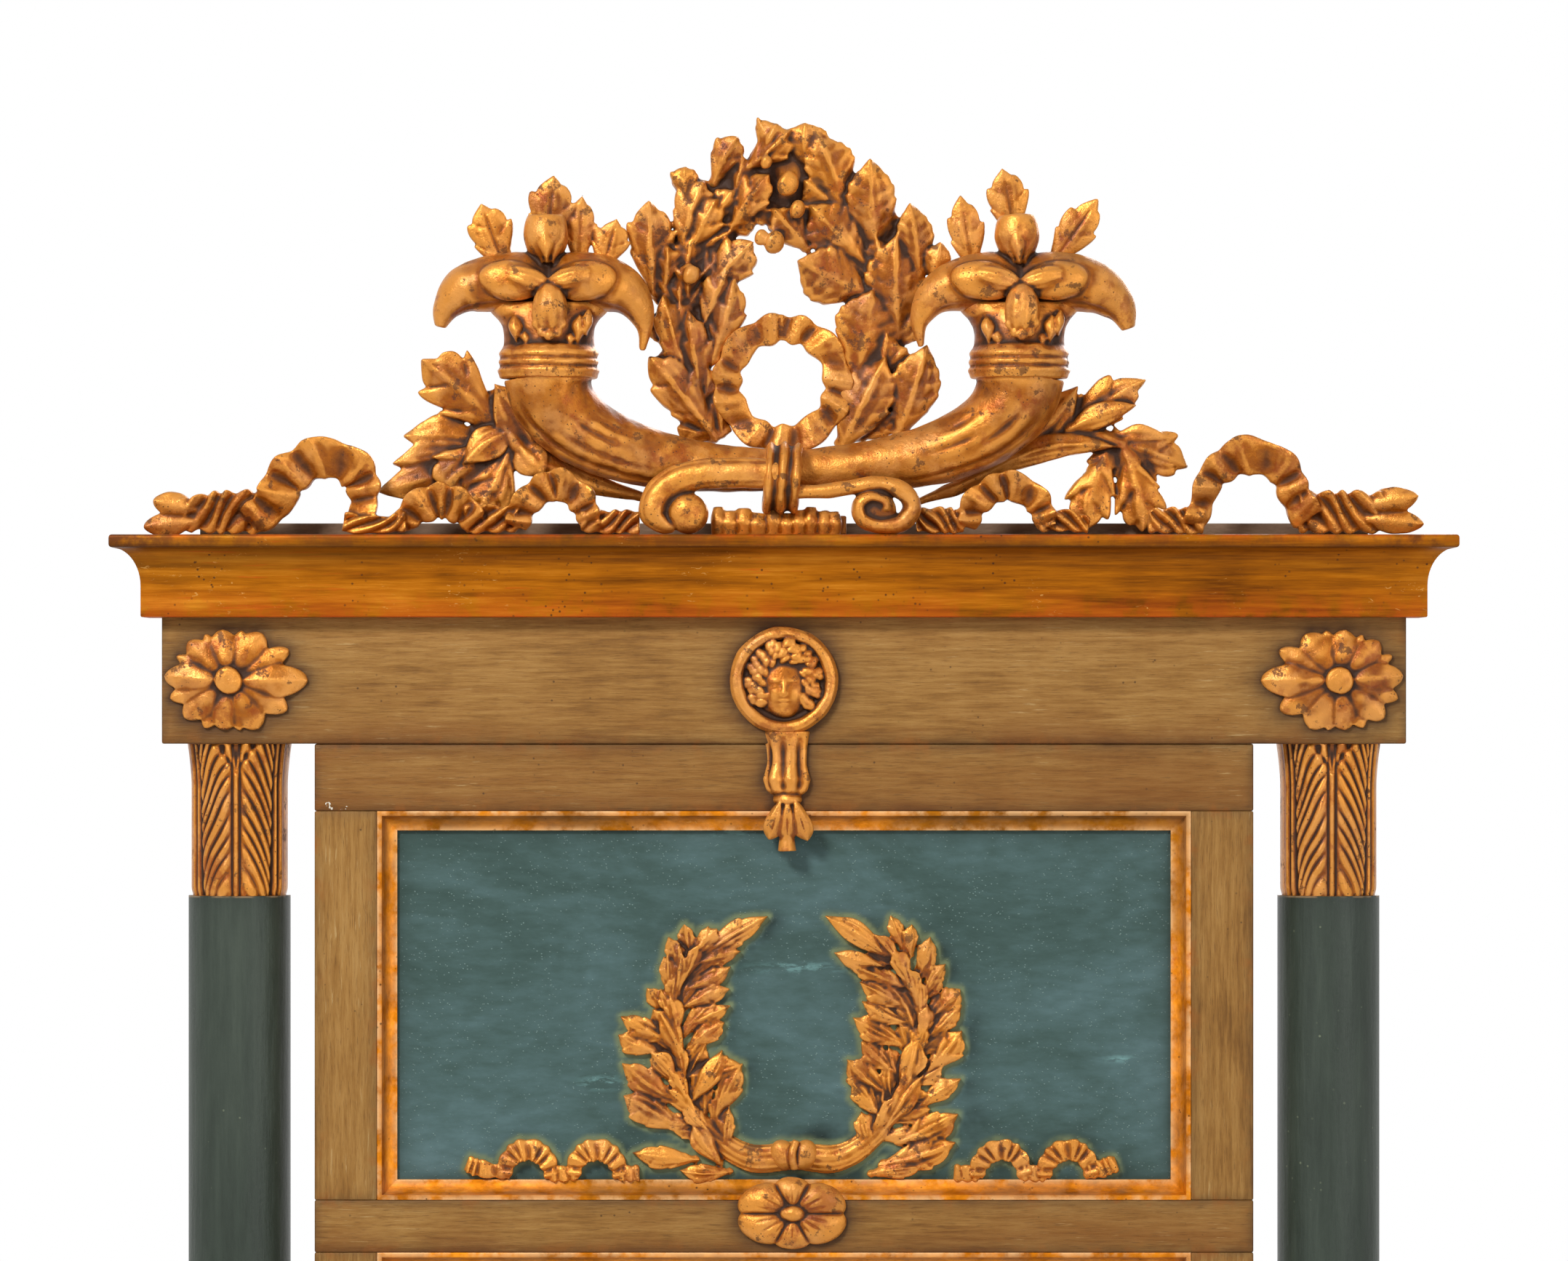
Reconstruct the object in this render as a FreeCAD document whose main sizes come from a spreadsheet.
import FreeCAD, Part
import math
import os
import Sketcher
from FreeCAD import Placement, Rotation, Vector

# Tall painted and gilded wall mirror: joined frame between two half columns, plinth below,
# frieze, cornice and carved crest above. Millimetres. X runs to the right, Z up, the wall is
# the plane Y = 0 and the front faces -Y. The origin is the bottom middle of the back.

SIZES = (
    ("frame_width", "572", "outer width of the joined frame"),
    ("frame_thickness", "30", "thickness of rails and stiles"),
    ("stile_width", "38", "face of a stile"),
    ("top_rail_height", "41", "face of the top rail"),
    ("mid_rail_height", "32", "face of the rail between panel and glass"),
    ("bottom_rail_height", "41", "face of the bottom rail"),
    ("panel_opening_height", "237", "opening between mid and top rail"),
    ("mirror_opening_height", "804", "opening between bottom and mid rail"),
    ("tenon_length", "14", "stub tenon on each stile end"),
    ("tenon_thickness", "10", "tenon across the frame thickness"),
    ("tenon_shoulder", "7", "shoulder on each edge of a tenon"),
    ("joint_clearance", "0.15", "play on each side of a tenon or dowel"),
    ("joint_end_gap", "1", "free depth beyond a tenon or dowel end"),
    ("frame_setback", "1.5", "frame face behind the frieze face"),
    ("entablature_depth", "46", "frieze and plinth, wall to face"),
    ("frieze_height", "77", "frieze below the cornice"),
    ("plinth_height", "88", "plinth under frame and columns"),
    ("frieze_overhang", "14", "frieze beyond the column"),
    ("column_gap", "17", "space between frame and column"),
    ("column_diameter", "62", "column shaft"),
    ("column_inset", "3", "column face behind the frieze face"),
    ("column_back_gap", "3", "column back in front of the wall"),
    ("capital_height", "93", "carved capital"),
    ("capital_neck", "70", "height of the straight part of the capital"),
    ("capital_flare", "2.5", "capital head beyond the shaft"),
    ("capital_leaf_relief", "2", "carved leaf above the capital core"),
    ("capital_leaf_width", "46", "front leaf of the capital"),
    ("capital_notch", "18", "depth of the notch in the leaf head"),
    ("column_base_height", "58", "turned column base"),
    ("base_torus_radius", "11", "lower roll of the column base"),
    ("base_roll_radius", "6", "upper roll of the column base"),
    ("base_neck_inset", "3", "hollow between the rolls inside the shaft line"),
    ("cornice_fascia_projection", "12", "cornice fascia beyond the frieze"),
    ("cornice_fascia_height", "25", "cornice fascia"),
    ("cornice_cove_radius", "15", "hollow of the cornice"),
    ("cornice_lip_step", "3", "lip beyond the hollow"),
    ("cornice_lip_height", "10", "lip of the cornice"),
    ("base_fillet_projection", "3", "top fillet of the base moulding"),
    ("base_fillet_height", "5", "top fillet of the base moulding"),
    ("base_cove_radius", "10", "hollow of the base moulding"),
    ("base_foot_step", "2", "foot beyond the hollow"),
    ("base_foot_height", "15", "foot of the base moulding"),
    ("sight_fillet", "3", "flat band of the sight moulding"),
    ("sight_cove_radius", "9", "hollow of the sight moulding"),
    ("sight_depth", "12", "sight moulding, face to back"),
    ("panel_thickness", "8", "painted panel"),
    ("plate_thickness", "5", "mirror glass"),
    ("rebate_clearance", "1", "play round panel and glass"),
    ("backboard_thickness", "8", "board over the glass"),
    ("backboard_lap", "14", "board over the frame"),
    ("nail_radius", "1.1", "nail shank"),
    ("nail_head_radius", "2.6", "nail head"),
    ("nail_head_height", "0.8", "nail head"),
    ("nail_bite", "12", "nail in the frame"),
    ("block_length", "46", "glue block"),
    ("block_width", "10", "glue block"),
    ("dowel_diameter", "10", "dowel"),
    ("dowel_depth", "20", "dowel in each piece"),
    ("frame_dowel_x", "190", "frame dowel from the middle"),
    ("rosette_width", "91", "flower on the frieze"),
    ("rosette_height", "64", "flower on the frieze"),
    ("rosette_relief", "11", "flower petals"),
    ("rosette_boss_radius", "9", "button of the flower"),
    ("plinth_rosette_width", "64", "flower on the plinth"),
    ("plinth_rosette_height", "45", "flower on the plinth"),
    ("plinth_boss_radius", "6.3", "button of the flower on the plinth"),
    ("rail_rosette_width", "72", "flower on the mid rail"),
    ("rail_rosette_height", "44", "flower on the mid rail"),
    ("rail_boss_radius", "5.4", "button of the flower on the mid rail"),
    ("rail_rosette_lift", "8", "flower above the middle of the mid rail"),
    ("rail_rosette_shift", "5", "flower beside the middle of the mid rail"),
    ("knot_radius", "9", "knot where the laurel stems meet"),
    ("medallion_radius", "33", "medallion on the frieze"),
    ("medallion_ring", "9", "rounded rim of the medallion"),
    ("medallion_relief", "8", "rim above the frieze"),
    ("medallion_dish", "3", "ground of the medallion"),
    ("head_width", "26", "carved head in the medallion"),
    ("head_height", "34", "carved head in the medallion"),
    ("drop_length", "72", "bell and tassel under the medallion"),
    ("drop_radius", "14.5", "widest part of the bell"),
    ("spray_width", "66", "laurel stem from the middle"),
    ("spray_height", "73", "laurel stem, half its height"),
    ("spray_centre", "97", "middle of the laurel above the panel edge"),
    ("spray_leaf_length", "35", "laurel leaf"),
    ("spray_leaf_width", "17", "laurel leaf"),
    ("spray_relief", "8", "laurel above the panel"),
    ("panel_ribbon_reach", "196", "ribbon end from the middle"),
    ("panel_ribbon_start", "108", "ribbon start from the middle"),
    ("panel_ribbon_low", "6", "panel ribbon between its curls"),
    ("panel_ribbon_tail", "10", "panel ribbon tail"),
    ("panel_ribbon_depth", "9", "pleated ribbon, front to back"),
    ("crest_rail_width", "716", "strip behind the crest"),
    ("crest_rail_height", "8", "strip behind the crest"),
    ("crest_rail_thickness", "12", "strip behind the crest"),
    ("crest_rail_back", "2", "strip in front of the wall"),
    ("crest_dowel_x", "240", "crest dowel from the middle"),
    ("crest_dowel_diameter", "6", "dowel of the crest strip"),
    ("horn_axis", "38", "horns, wall to axis"),
    ("horn_reach", "144", "horn mouth from the middle"),
    ("horn_rise", "98", "horn mouth above the cornice"),
    ("horn_mouth_radius", "27", "horn at its mouth"),
    ("horn_tail_radius", "12", "horn at the tie"),
    ("horn_tail_height", "40", "horn axis at the tie"),
    ("collar_radius", "30.5", "ring round the horn mouth"),
    ("collar_height", "16", "ring round the horn mouth"),
    ("cup_height", "22", "cup above the collar"),
    ("rim_reach", "64", "drooping rim from the horn axis"),
    ("rim_rise", "52", "top of the rim above the mouth"),
    ("rim_droop", "28", "ends of the rim below its top"),
    ("rim_radius", "16", "drooping rim, half thickness"),
    ("rim_tip_radius", "2.5", "end of the drooping rim"),
    ("pod_length", "38", "fruit lying on the rim"),
    ("pod_radius", "11", "fruit lying on the rim"),
    ("berry_length", "32", "fruit hanging from the rim"),
    ("berry_radius", "12", "fruit hanging from the rim"),
    ("bud_radius", "14", "bud on top of the fruit"),
    ("scroll_axis", "64", "scrolls, wall to axis"),
    ("scroll_eye_x", "58", "scroll eye from the middle"),
    ("left_scroll_height", "36", "left scroll bar above the cornice"),
    ("left_scroll_radius", "8.5", "left scroll bar, half thickness"),
    ("left_scroll_turn", "13.5", "turn of the left scroll"),
    ("left_scroll_eye", "11", "eye of the left scroll"),
    ("right_scroll_height", "24", "right scroll bar above the cornice"),
    ("right_scroll_radius", "4.5", "right scroll bar, half thickness"),
    ("right_scroll_turn", "8.5", "turn of the right scroll"),
    ("right_scroll_eye", "8", "eye of the right scroll"),
    ("tie_width", "23", "band round the horns"),
    ("tie_half_height", "22", "band round the horns"),
    ("tie_height", "34", "middle of the band above the cornice"),
    ("tie_wrap", "3", "band beyond the horns and scroll bars"),
    ("wreath_half_width", "66", "wreath stem from its middle"),
    ("wreath_half_height", "90", "wreath stem from its middle"),
    ("wreath_centre", "131", "wreath middle above the cornice"),
    ("wreath_stem", "10", "wreath stem, half width"),
    ("wreath_stem_depth", "16", "wreath stem, front to back"),
    ("wreath_back", "18", "wreath in front of the wall"),
    ("wreath_leaf_length", "47", "wreath leaf"),
    ("wreath_leaf_width", "23", "wreath leaf"),
    ("wreath_leaf_relief", "13", "wreath leaf"),
    ("ring_height", "93.8", "ribbon ring middle above the cornice"),
    ("ring_inner_radius", "26", "hole of the ribbon ring"),
    ("ring_outer_radius", "41.5", "ribbon ring"),
    ("ring_pleat_inner", "7.6", "pleat of the ribbon ring at its hole"),
    ("ring_pleat_outer", "11.8", "pleat of the ribbon ring at its edge"),
    ("ring_axis", "30", "ribbon ring, wall to middle"),
    ("acanthus_back", "14", "acanthus in front of the wall"),
    ("acanthus_relief", "14", "acanthus leaf"),
    ("acanthus_stalk", "9", "acanthus stalk, half thickness"),
    ("ribbon_back", "36", "crest ribbon, wall to back edge"),
    ("ribbon_depth", "26", "crest ribbon, front to back"),
    ("ribbon_inset", "21", "crest ribbon end inside the cornice lip"),
    ("ribbon_start", "89", "crest ribbon start from the middle"),
    ("ribbon_low", "15", "crest ribbon between its curls"),
    ("ribbon_tail", "25", "crest ribbon tail"),
    ("ribbon_pleat", "7", "pitch of the ribbon pleats"),
    ("fluting_height", "19", "fluted strip under the tie"),
    ("fluting_depth", "14", "fluted strip under the tie"),
    ("fluting_width", "76", "fluted strip under the tie"),
    ("flute_radius", "4.2", "one reed of the fluted strip"),
    ("strap_width", "16", "hanger strap"),
    ("strap_length", "46", "hanger strap"),
    ("strap_thickness", "1.5", "hanger strap"),
    ("barrel_radius", "3.8", "folded eye of the strap"),
    ("ring_wire", "4", "hanger ring wire"),
    ("ring_play", "0.08", "ring wire in its eye"),
    ("ring_bar", "20", "straight bar of the hanger ring"),
    ("ring_corner", "4", "corner of the hanger ring"),
    ("ring_leg", "6", "straight leg of the hanger ring"),
    ("hanger_drop", "60", "hanger axis under the top rail"),
    ("screw_radius", "1.8", "hanger screw"),
    ("screw_head_radius", "3.8", "hanger screw head"),
    ("screw_head_height", "1.2", "hanger screw head"),
    ("screw_length", "16", "hanger screw in the stile"),
    ("screw_first", "12", "first screw under the ring axis"),
    ("screw_pitch", "25", "second screw under the first"),
)

doc = FreeCAD.newDocument("painted_mirror")
sheet = doc.addObject("Spreadsheet::Sheet", "dims")
for row, (alias, number, note) in enumerate(SIZES, 1):
    sheet.set(f"A{row}", alias)
    sheet.set(f"B{row}", number)
    sheet.setAlias(f"B{row}", alias)
    sheet.set(f"C{row}", note)
doc.recompute()


class Size:
    """A sheet size, or sizes combined: the number and the formula that produces it."""

    def __init__(self, value, formula):
        self.value = float(value)
        self.formula = formula

    def __float__(self):
        return self.value

    def __neg__(self):
        return Size(-self.value, f"-({self.formula})")

    def __add__(self, other):
        return Size(self.value + float(other), f"({self.formula} + {formula_of(other)})")

    def __radd__(self, other):
        return self + other

    def __sub__(self, other):
        return Size(self.value - float(other), f"({self.formula} - {formula_of(other)})")

    def __rsub__(self, other):
        return -self + other

    def __mul__(self, other):
        return Size(self.value * float(other), f"({self.formula} * {formula_of(other)})")

    def __rmul__(self, other):
        return self * other

    def __truediv__(self, other):
        return Size(self.value / float(other), f"({self.formula} / {formula_of(other)})")


def formula_of(item):
    return item.formula if isinstance(item, Size) else repr(float(item))


def bind(item, prop, size):
    item.setExpression(prop, formula_of(size))


class Sheet:
    """Sheet cells by alias."""

    def __getattr__(self, alias):
        return Size(sheet.get(alias), f"dims.{alias}")


d = Sheet()
nodes = {}

# Levels and depths that several pieces share.
opening_width = d.frame_width - 2 * d.stile_width
frame_front = -(d.entablature_depth - d.frame_setback)
frame_back = frame_front + d.frame_thickness
mirror_base = d.plinth_height + d.bottom_rail_height
mid_rail_base = mirror_base + d.mirror_opening_height
panel_base = mid_rail_base + d.mid_rail_height
top_rail_base = panel_base + d.panel_opening_height
frieze_base = top_rail_base + d.top_rail_height
cornice_base = frieze_base + d.frieze_height
cornice_height = d.cornice_fascia_height + d.cornice_cove_radius + d.cornice_lip_height
crest_base = cornice_base + cornice_height
column_radius = d.column_diameter / 2
column_x = d.frame_width / 2 + d.column_gap + column_radius
half_entablature = column_x + column_radius + d.frieze_overhang
column_y = -(d.entablature_depth - d.column_inset - column_radius)
column_side = -column_y - d.column_back_gap
shaft_base = d.plinth_height + d.column_base_height
shaft_height = frieze_base - d.capital_height - shaft_base
sight_width = d.sight_fillet + d.sight_cove_radius
sight_back = frame_front + d.sight_depth
panel_back = sight_back + d.panel_thickness
plate_back = sight_back + d.plate_thickness
dowel_radius = d.dowel_diameter / 2
hole_radius = dowel_radius + d.joint_clearance
hole_depth = d.dowel_depth + d.joint_end_gap


def new_body(label):
    body = doc.addObject("PartDesign::Body", label)
    body.Label = label
    nodes[label] = body
    return body


def origin_plane(body, role):
    return next(item for item in body.Origin.OriginFeatures if item.Role == role)


def sketch_on(body, role, shift=(0, 0, 0)):
    sketch = body.newObject("Sketcher::SketchObject", "outline")
    sketch.AttachmentSupport = [(origin_plane(body, role), "")]
    sketch.MapMode = "FlatFace"
    for axis, size in zip("xyz", shift):
        if float(size):
            bind(sketch, f"AttachmentOffset.Base.{axis}", size)
    return sketch


def fix_point(sketch, edge, end, x, y):
    for kind, axis, size in (("DistanceX", -2, x), ("DistanceY", -1, y)):
        if float(size) == 0:
            sketch.addConstraint(Sketcher.Constraint("PointOnObject", edge, end, axis))
        else:
            index = sketch.addConstraint(Sketcher.Constraint(kind, -1, 1, edge, end, float(size)))
            bind(sketch, f"Constraints[{index}]", size)


def outline(sketch, corners):
    """Closed outline. A corner is (x, y) before a line, or (x, y, radius, side) before an arc."""
    points = [Vector(float(c[0]), float(c[1]), 0) for c in corners]
    edges = []
    for index, corner in enumerate(corners):
        start = points[index]
        end = points[(index + 1) % len(points)]
        if len(corner) == 2:
            edges.append((sketch.addGeometry(Part.LineSegment(start, end), False), 1, 2))
            continue
        radius = float(corner[2])
        chord = end - start
        across = Vector(-chord.y, chord.x, 0).normalize() * corner[3]
        reach = math.sqrt(max(radius ** 2 - chord.Length ** 2 / 4, 0))
        centre = (start + end) * 0.5 + across * reach
        first = math.atan2(start.y - centre.y, start.x - centre.x)
        last = math.atan2(end.y - centre.y, end.x - centre.x)
        circle = Part.Circle(centre, Vector(0, 0, 1), radius)
        if corner[3] > 0:
            edge = sketch.addGeometry(Part.ArcOfCircle(circle, first, last), False)
            edges.append((edge, 1, 2))
        else:
            edge = sketch.addGeometry(Part.ArcOfCircle(circle, last, first), False)
            edges.append((edge, 2, 1))
    for index, (edge, start, end) in enumerate(edges):
        following = edges[(index + 1) % len(edges)]
        sketch.addConstraint(Sketcher.Constraint("Coincident", edge, end, following[0], following[1]))
        fix_point(sketch, edge, start, corners[index][0], corners[index][1])
        if len(corners[index]) > 2:
            size = corners[index][2]
            following = points[(index + 1) % len(points)]
            if abs((following - points[index]).Length - 2 * float(size)) < 1e-6:
                sketch.addConstraint(Sketcher.Constraint("Symmetric", edge, 1, edge, 2, edge, 3))
            else:
                radius = sketch.addConstraint(Sketcher.Constraint("Radius", edge, float(size)))
                bind(sketch, f"Constraints[{radius}]", size)
    return sketch


def rectangle(sketch, width, height):
    x = width / 2
    y = height / 2
    return outline(sketch, ((-x, -y), (x, -y), (x, y), (-x, y)))


def circle(sketch, radius):
    edge = sketch.addGeometry(Part.Circle(Vector(0, 0, 0), Vector(0, 0, 1), float(radius)), False)
    sketch.addConstraint(Sketcher.Constraint("Coincident", edge, 3, -1, 1))
    index = sketch.addConstraint(Sketcher.Constraint("Radius", edge, float(radius)))
    bind(sketch, f"Constraints[{index}]", radius)
    return sketch


def d_section(sketch, radius, side):
    """Half round towards the front with straight sides back to a flat."""
    return outline(sketch, ((-radius, 0, radius, 1), (radius, 0), (radius, side), (-radius, side)))


def pad(body, sketch, length, flip=False, both=False):
    feature = body.newObject("PartDesign::Pad", "pad")
    feature.Profile = sketch
    bind(feature, "Length", length)
    feature.Reversed = flip
    if both:
        feature.SideType = "Symmetric"
    return feature


def pocket(body, sketch, length=None, flip=False):
    feature = body.newObject("PartDesign::Pocket", "pocket")
    feature.Profile = sketch
    feature.Reversed = flip
    if length is None:
        feature.Type = "ThroughAll"
    else:
        bind(feature, "Length", length)
    return feature


def turn(body, sketch, angle=360, flip=False):
    feature = body.newObject("PartDesign::Revolution", "turning")
    feature.Profile = sketch
    feature.ReferenceAxis = (sketch, ["V_Axis"])
    feature.Angle = angle
    feature.Reversed = flip
    return feature


def place(item, x=0, y=0, z=0):
    for axis, size in zip("xyz", (x, y, z)):
        if isinstance(size, Size):
            bind(item, f"Placement.Base.{axis}", size)


def mirrored(label, source, normal=(1, 0, 0), level=None):
    item = doc.addObject("Part::Mirroring", label)
    item.Source = source
    item.Normal = normal
    if level is not None:
        bind(item, "Base.z", level)
    item.Label = label
    nodes[label] = item
    return item


def gather(label, pieces):
    """One node made of several like pieces."""
    group = doc.addObject("Part::Compound", label)
    group.Links = pieces
    group.Label = label
    for piece in pieces:
        nodes.pop(piece.Label, None)
    nodes[label] = group
    return group


def carved(label, shape, x=0, y=0, z=0):
    item = doc.addObject("Part::Feature", label)
    item.Shape = shape if shape.Placement.isIdentity() else Part.makeCompound([shape])
    item.Label = label
    place(item, x, y, z)
    nodes[label] = item
    return item


def board(label, width, height, thickness, x, back, z):
    """Flat board: x and z of its middle, its back plane, thickness towards the front."""
    body = new_body(label)
    pad(body, rectangle(sketch_on(body, "XZ_Plane"), width, height), thickness)
    place(body, x, back, z)
    return body


def bore_end(body, x, y, level, depth, top, radius=hole_radius):
    """Round hole into the top or the bottom end of a piece."""
    spot = circle(sketch_on(body, "XY_Plane", (x, y, level)), radius)
    return pocket(body, spot, depth, flip=not top)


# Joined frame: full width rails, stiles between them on stub tenons.
tenon_width = d.stile_width - 2 * d.tenon_shoulder
mid_thickness = -(d.frame_thickness / 2)
stile_x = (d.frame_width - d.stile_width) / 2


def rail(label, height, base, mortised_sides):
    body = board(label, d.frame_width, height, d.frame_thickness, 0, frame_back, base + height / 2)
    for side in mortised_sides:
        for hand in (-1, 1):
            spot = sketch_on(body, "XY_Plane", (stile_x * hand, mid_thickness, height / 2 * side))
            play = 2 * d.joint_clearance
            rectangle(spot, tenon_width + play, d.tenon_thickness + play)
            pocket(body, spot, d.tenon_length + d.joint_end_gap, flip=side < 0)
    return body


def stile(label, height, base):
    body = board(label, d.stile_width, height, d.frame_thickness, -stile_x, frame_back,
                 base + height / 2)
    for side in (-1, 1):
        spot = sketch_on(body, "XY_Plane", (0, mid_thickness, height / 2 * side))
        rectangle(spot, tenon_width, d.tenon_thickness)
        pad(body, spot, d.tenon_length, flip=side < 0)
    return body


top_rail = rail("top_rail", d.top_rail_height, top_rail_base, (-1,))
mid_rail = rail("mid_rail", d.mid_rail_height, mid_rail_base, (-1, 1))
bottom_rail = rail("bottom_rail", d.bottom_rail_height, d.plinth_height, (1,))
upper_stile = stile("upper_left_stile", d.panel_opening_height, panel_base)
lower_stile = stile("lower_left_stile", d.mirror_opening_height, mirror_base)
mirrored("upper_right_stile", upper_stile)
mirrored("lower_right_stile", lower_stile)

# Frieze and plinth boards.
frieze_board_height = d.frieze_height + cornice_height
frieze_board = board("frieze_board", 2 * half_entablature, frieze_board_height,
                     d.entablature_depth, 0, 0, frieze_base + frieze_board_height / 2)
plinth_board = board("plinth_board", 2 * half_entablature, d.plinth_height,
                     d.entablature_depth, 0, 0, d.plinth_height / 2)

# Dowels: frame to frieze and plinth, columns to frieze and plinth, crest strip to frieze.
frame_mid = frame_back - d.frame_thickness / 2
crest_rail_mid = -(d.crest_rail_back + d.crest_rail_thickness / 2)
crest_hole = d.crest_dowel_diameter / 2 + d.joint_clearance
crest_dowel_depth = d.crest_rail_height / 2
for hand in (-1, 1):
    bore_end(top_rail, d.frame_dowel_x * hand, mid_thickness, d.top_rail_height / 2, hole_depth, True)
    bore_end(bottom_rail, d.frame_dowel_x * hand, mid_thickness, -(d.bottom_rail_height / 2),
             hole_depth, False)
    bore_end(frieze_board, d.frame_dowel_x * hand, frame_mid, -(frieze_board_height / 2),
             hole_depth, False)
    bore_end(plinth_board, d.frame_dowel_x * hand, frame_mid, d.plinth_height / 2, hole_depth, True)
    bore_end(frieze_board, column_x * hand, column_y, -(frieze_board_height / 2), hole_depth, False)
    bore_end(plinth_board, column_x * hand, column_y, d.plinth_height / 2, hole_depth, True)
    bore_end(frieze_board, d.crest_dowel_x * hand, crest_rail_mid, frieze_board_height / 2,
             hole_depth, True, crest_hole)


def dowel(name, x, y, middle, lower, upper, radius):
    peg = doc.addObject("Part::Cylinder", name)
    peg.Label = name
    bind(peg, "Radius", radius)
    bind(peg, "Height", lower + upper)
    place(peg, x, y, middle - lower)
    return peg


dowels = []
for hand, side in ((-1, "left"), (1, "right")):
    dowels.append(dowel(f"{side}_frame_top_dowel", d.frame_dowel_x * hand, frame_mid, frieze_base,
                        d.dowel_depth, d.dowel_depth, dowel_radius))
    dowels.append(dowel(f"{side}_frame_bottom_dowel", d.frame_dowel_x * hand, frame_mid,
                        d.plinth_height, d.dowel_depth, d.dowel_depth, dowel_radius))
    dowels.append(dowel(f"{side}_column_top_dowel", column_x * hand, column_y, frieze_base,
                        d.capital_height + d.dowel_depth, d.dowel_depth, dowel_radius))
    dowels.append(dowel(f"{side}_column_bottom_dowel", column_x * hand, column_y, d.plinth_height,
                        d.dowel_depth, d.column_base_height + d.dowel_depth, dowel_radius))
    dowels.append(dowel(f"{side}_crest_dowel", d.crest_dowel_x * hand, crest_rail_mid, crest_base,
                        d.dowel_depth, crest_dowel_depth, d.crest_dowel_diameter / 2))
gather("joint_dowels", dowels)


# Mitred mouldings of cornice and plinth: fillet, quarter hollow, lip.
def hollow_moulding(label, length, fillet, fillet_height, radius, step, lip, both_ends):
    body = new_body(label)
    reach = fillet + radius + step
    rise = fillet_height + radius
    profile = sketch_on(body, "YZ_Plane")
    outline(profile, ((0, 0), (-fillet, 0), (-fillet, fillet_height, radius, 1),
                      (-(fillet + radius), rise), (-reach, rise), (-reach, rise + lip), (0, rise + lip)))
    if both_ends:
        pad(body, profile, length + 2 * reach, both=True)
        end = length / 2
    else:
        pad(body, profile, length + reach)
        end = length
    spill = d.joint_end_gap
    leg = reach + 2 * spill
    corner = sketch_on(body, "XY_Plane", (end - spill, spill, 0))
    mitre = pocket(body, outline(corner, ((0, 0), (leg, 0), (leg, -leg))), flip=True)
    if both_ends:
        twin = body.newObject("PartDesign::Mirrored", "mitre")
        twin.Originals = [mitre]
        twin.MirrorPlane = (origin_plane(body, "YZ_Plane"), [""])
        body.Tip = twin
    return body


def cornice_length(label, length, both_ends):
    return hollow_moulding(label, length, d.cornice_fascia_projection, d.cornice_fascia_height,
                           d.cornice_cove_radius, d.cornice_lip_step, d.cornice_lip_height, both_ends)


def base_length(label, length, both_ends):
    return hollow_moulding(label, length, d.base_fillet_projection, d.base_fillet_height,
                           d.base_cove_radius, d.base_foot_step, d.base_foot_height, both_ends)


cornice_front = cornice_length("cornice_front", 2 * half_entablature, True)
place(cornice_front, 0, -d.entablature_depth, cornice_base)
cornice_return = cornice_length("cornice_left_return", d.entablature_depth, False)
cornice_return.Placement = Placement(Vector(), Rotation(Vector(0, 0, 1), -90))
place(cornice_return, -half_entablature, 0, cornice_base)
mirrored("cornice_right_return", cornice_return)

base_height = d.base_fillet_height + d.base_cove_radius + d.base_foot_height
base_front = base_length("base_front", 2 * half_entablature, True)
base_front.Placement = Placement(Vector(), Rotation(Vector(0, 1, 0), 180))
place(base_front, 0, -d.entablature_depth, base_height)
base_return = base_length("base_right_return", d.entablature_depth, False)
base_return.Placement = Placement(Vector(), Rotation(Vector(0, 1, 0), 180)
                                  * Rotation(Vector(0, 0, 1), -90))
place(base_return, half_entablature, 0, base_height)
gather("base_returns", [base_return, mirrored("base_left_return", base_return)])


# Sight mouldings: band and hollow, mitred round each opening.
def sight_length(label, length):
    body = new_body(label)
    profile = sketch_on(body, "YZ_Plane")
    outline(profile, ((0, 0), (d.sight_depth, 0), (d.sight_depth, sight_width),
                      (d.sight_cove_radius, sight_width, d.sight_cove_radius, -1), (0, d.sight_fillet)))
    pad(body, profile, length, both=True)
    spill = d.joint_end_gap
    leg = sight_width + 2 * spill
    corner = sketch_on(body, "XZ_Plane", (length / 2 + spill, -spill, 0))
    mitre = pocket(body, outline(corner, ((0, 0), (0, leg), (-leg, leg))))
    twin = body.newObject("PartDesign::Mirrored", "mitre")
    twin.Originals = [mitre]
    twin.MirrorPlane = (origin_plane(body, "YZ_Plane"), [""])
    body.Tip = twin
    return body


def sight_set(label, height, base):
    lower = sight_length(f"{label}_lower", opening_width)
    place(lower, 0, frame_front, base)
    upper = mirrored(f"{label}_upper", lower, (0, 0, 1), base + height / 2)
    left = sight_length(f"{label}_left", height)
    left.Placement = Placement(Vector(), Rotation(Vector(0, 1, 0), 90))
    place(left, -(opening_width / 2), frame_front, base + height / 2)
    right = mirrored(f"{label}_right", left)
    return gather(label, [lower, upper, left, right])


sight_set("panel_sight_moulding", d.panel_opening_height, panel_base)
sight_set("mirror_sight_moulding", d.mirror_opening_height, mirror_base)

# Panel, glass, backboard.
play = 2 * d.rebate_clearance
board("painted_panel", opening_width - play, d.panel_opening_height - play, d.panel_thickness,
      0, panel_back, panel_base + d.panel_opening_height / 2)
board("mirror_plate", opening_width - play, d.mirror_opening_height - play, d.plate_thickness,
      0, plate_back, mirror_base + d.mirror_opening_height / 2)
backboard_back = frame_back + d.backboard_thickness
board("backboard", opening_width + 2 * d.backboard_lap, d.mirror_opening_height + 2 * d.backboard_lap,
      d.backboard_thickness, 0, backboard_back, mirror_base + d.mirror_opening_height / 2)


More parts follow.
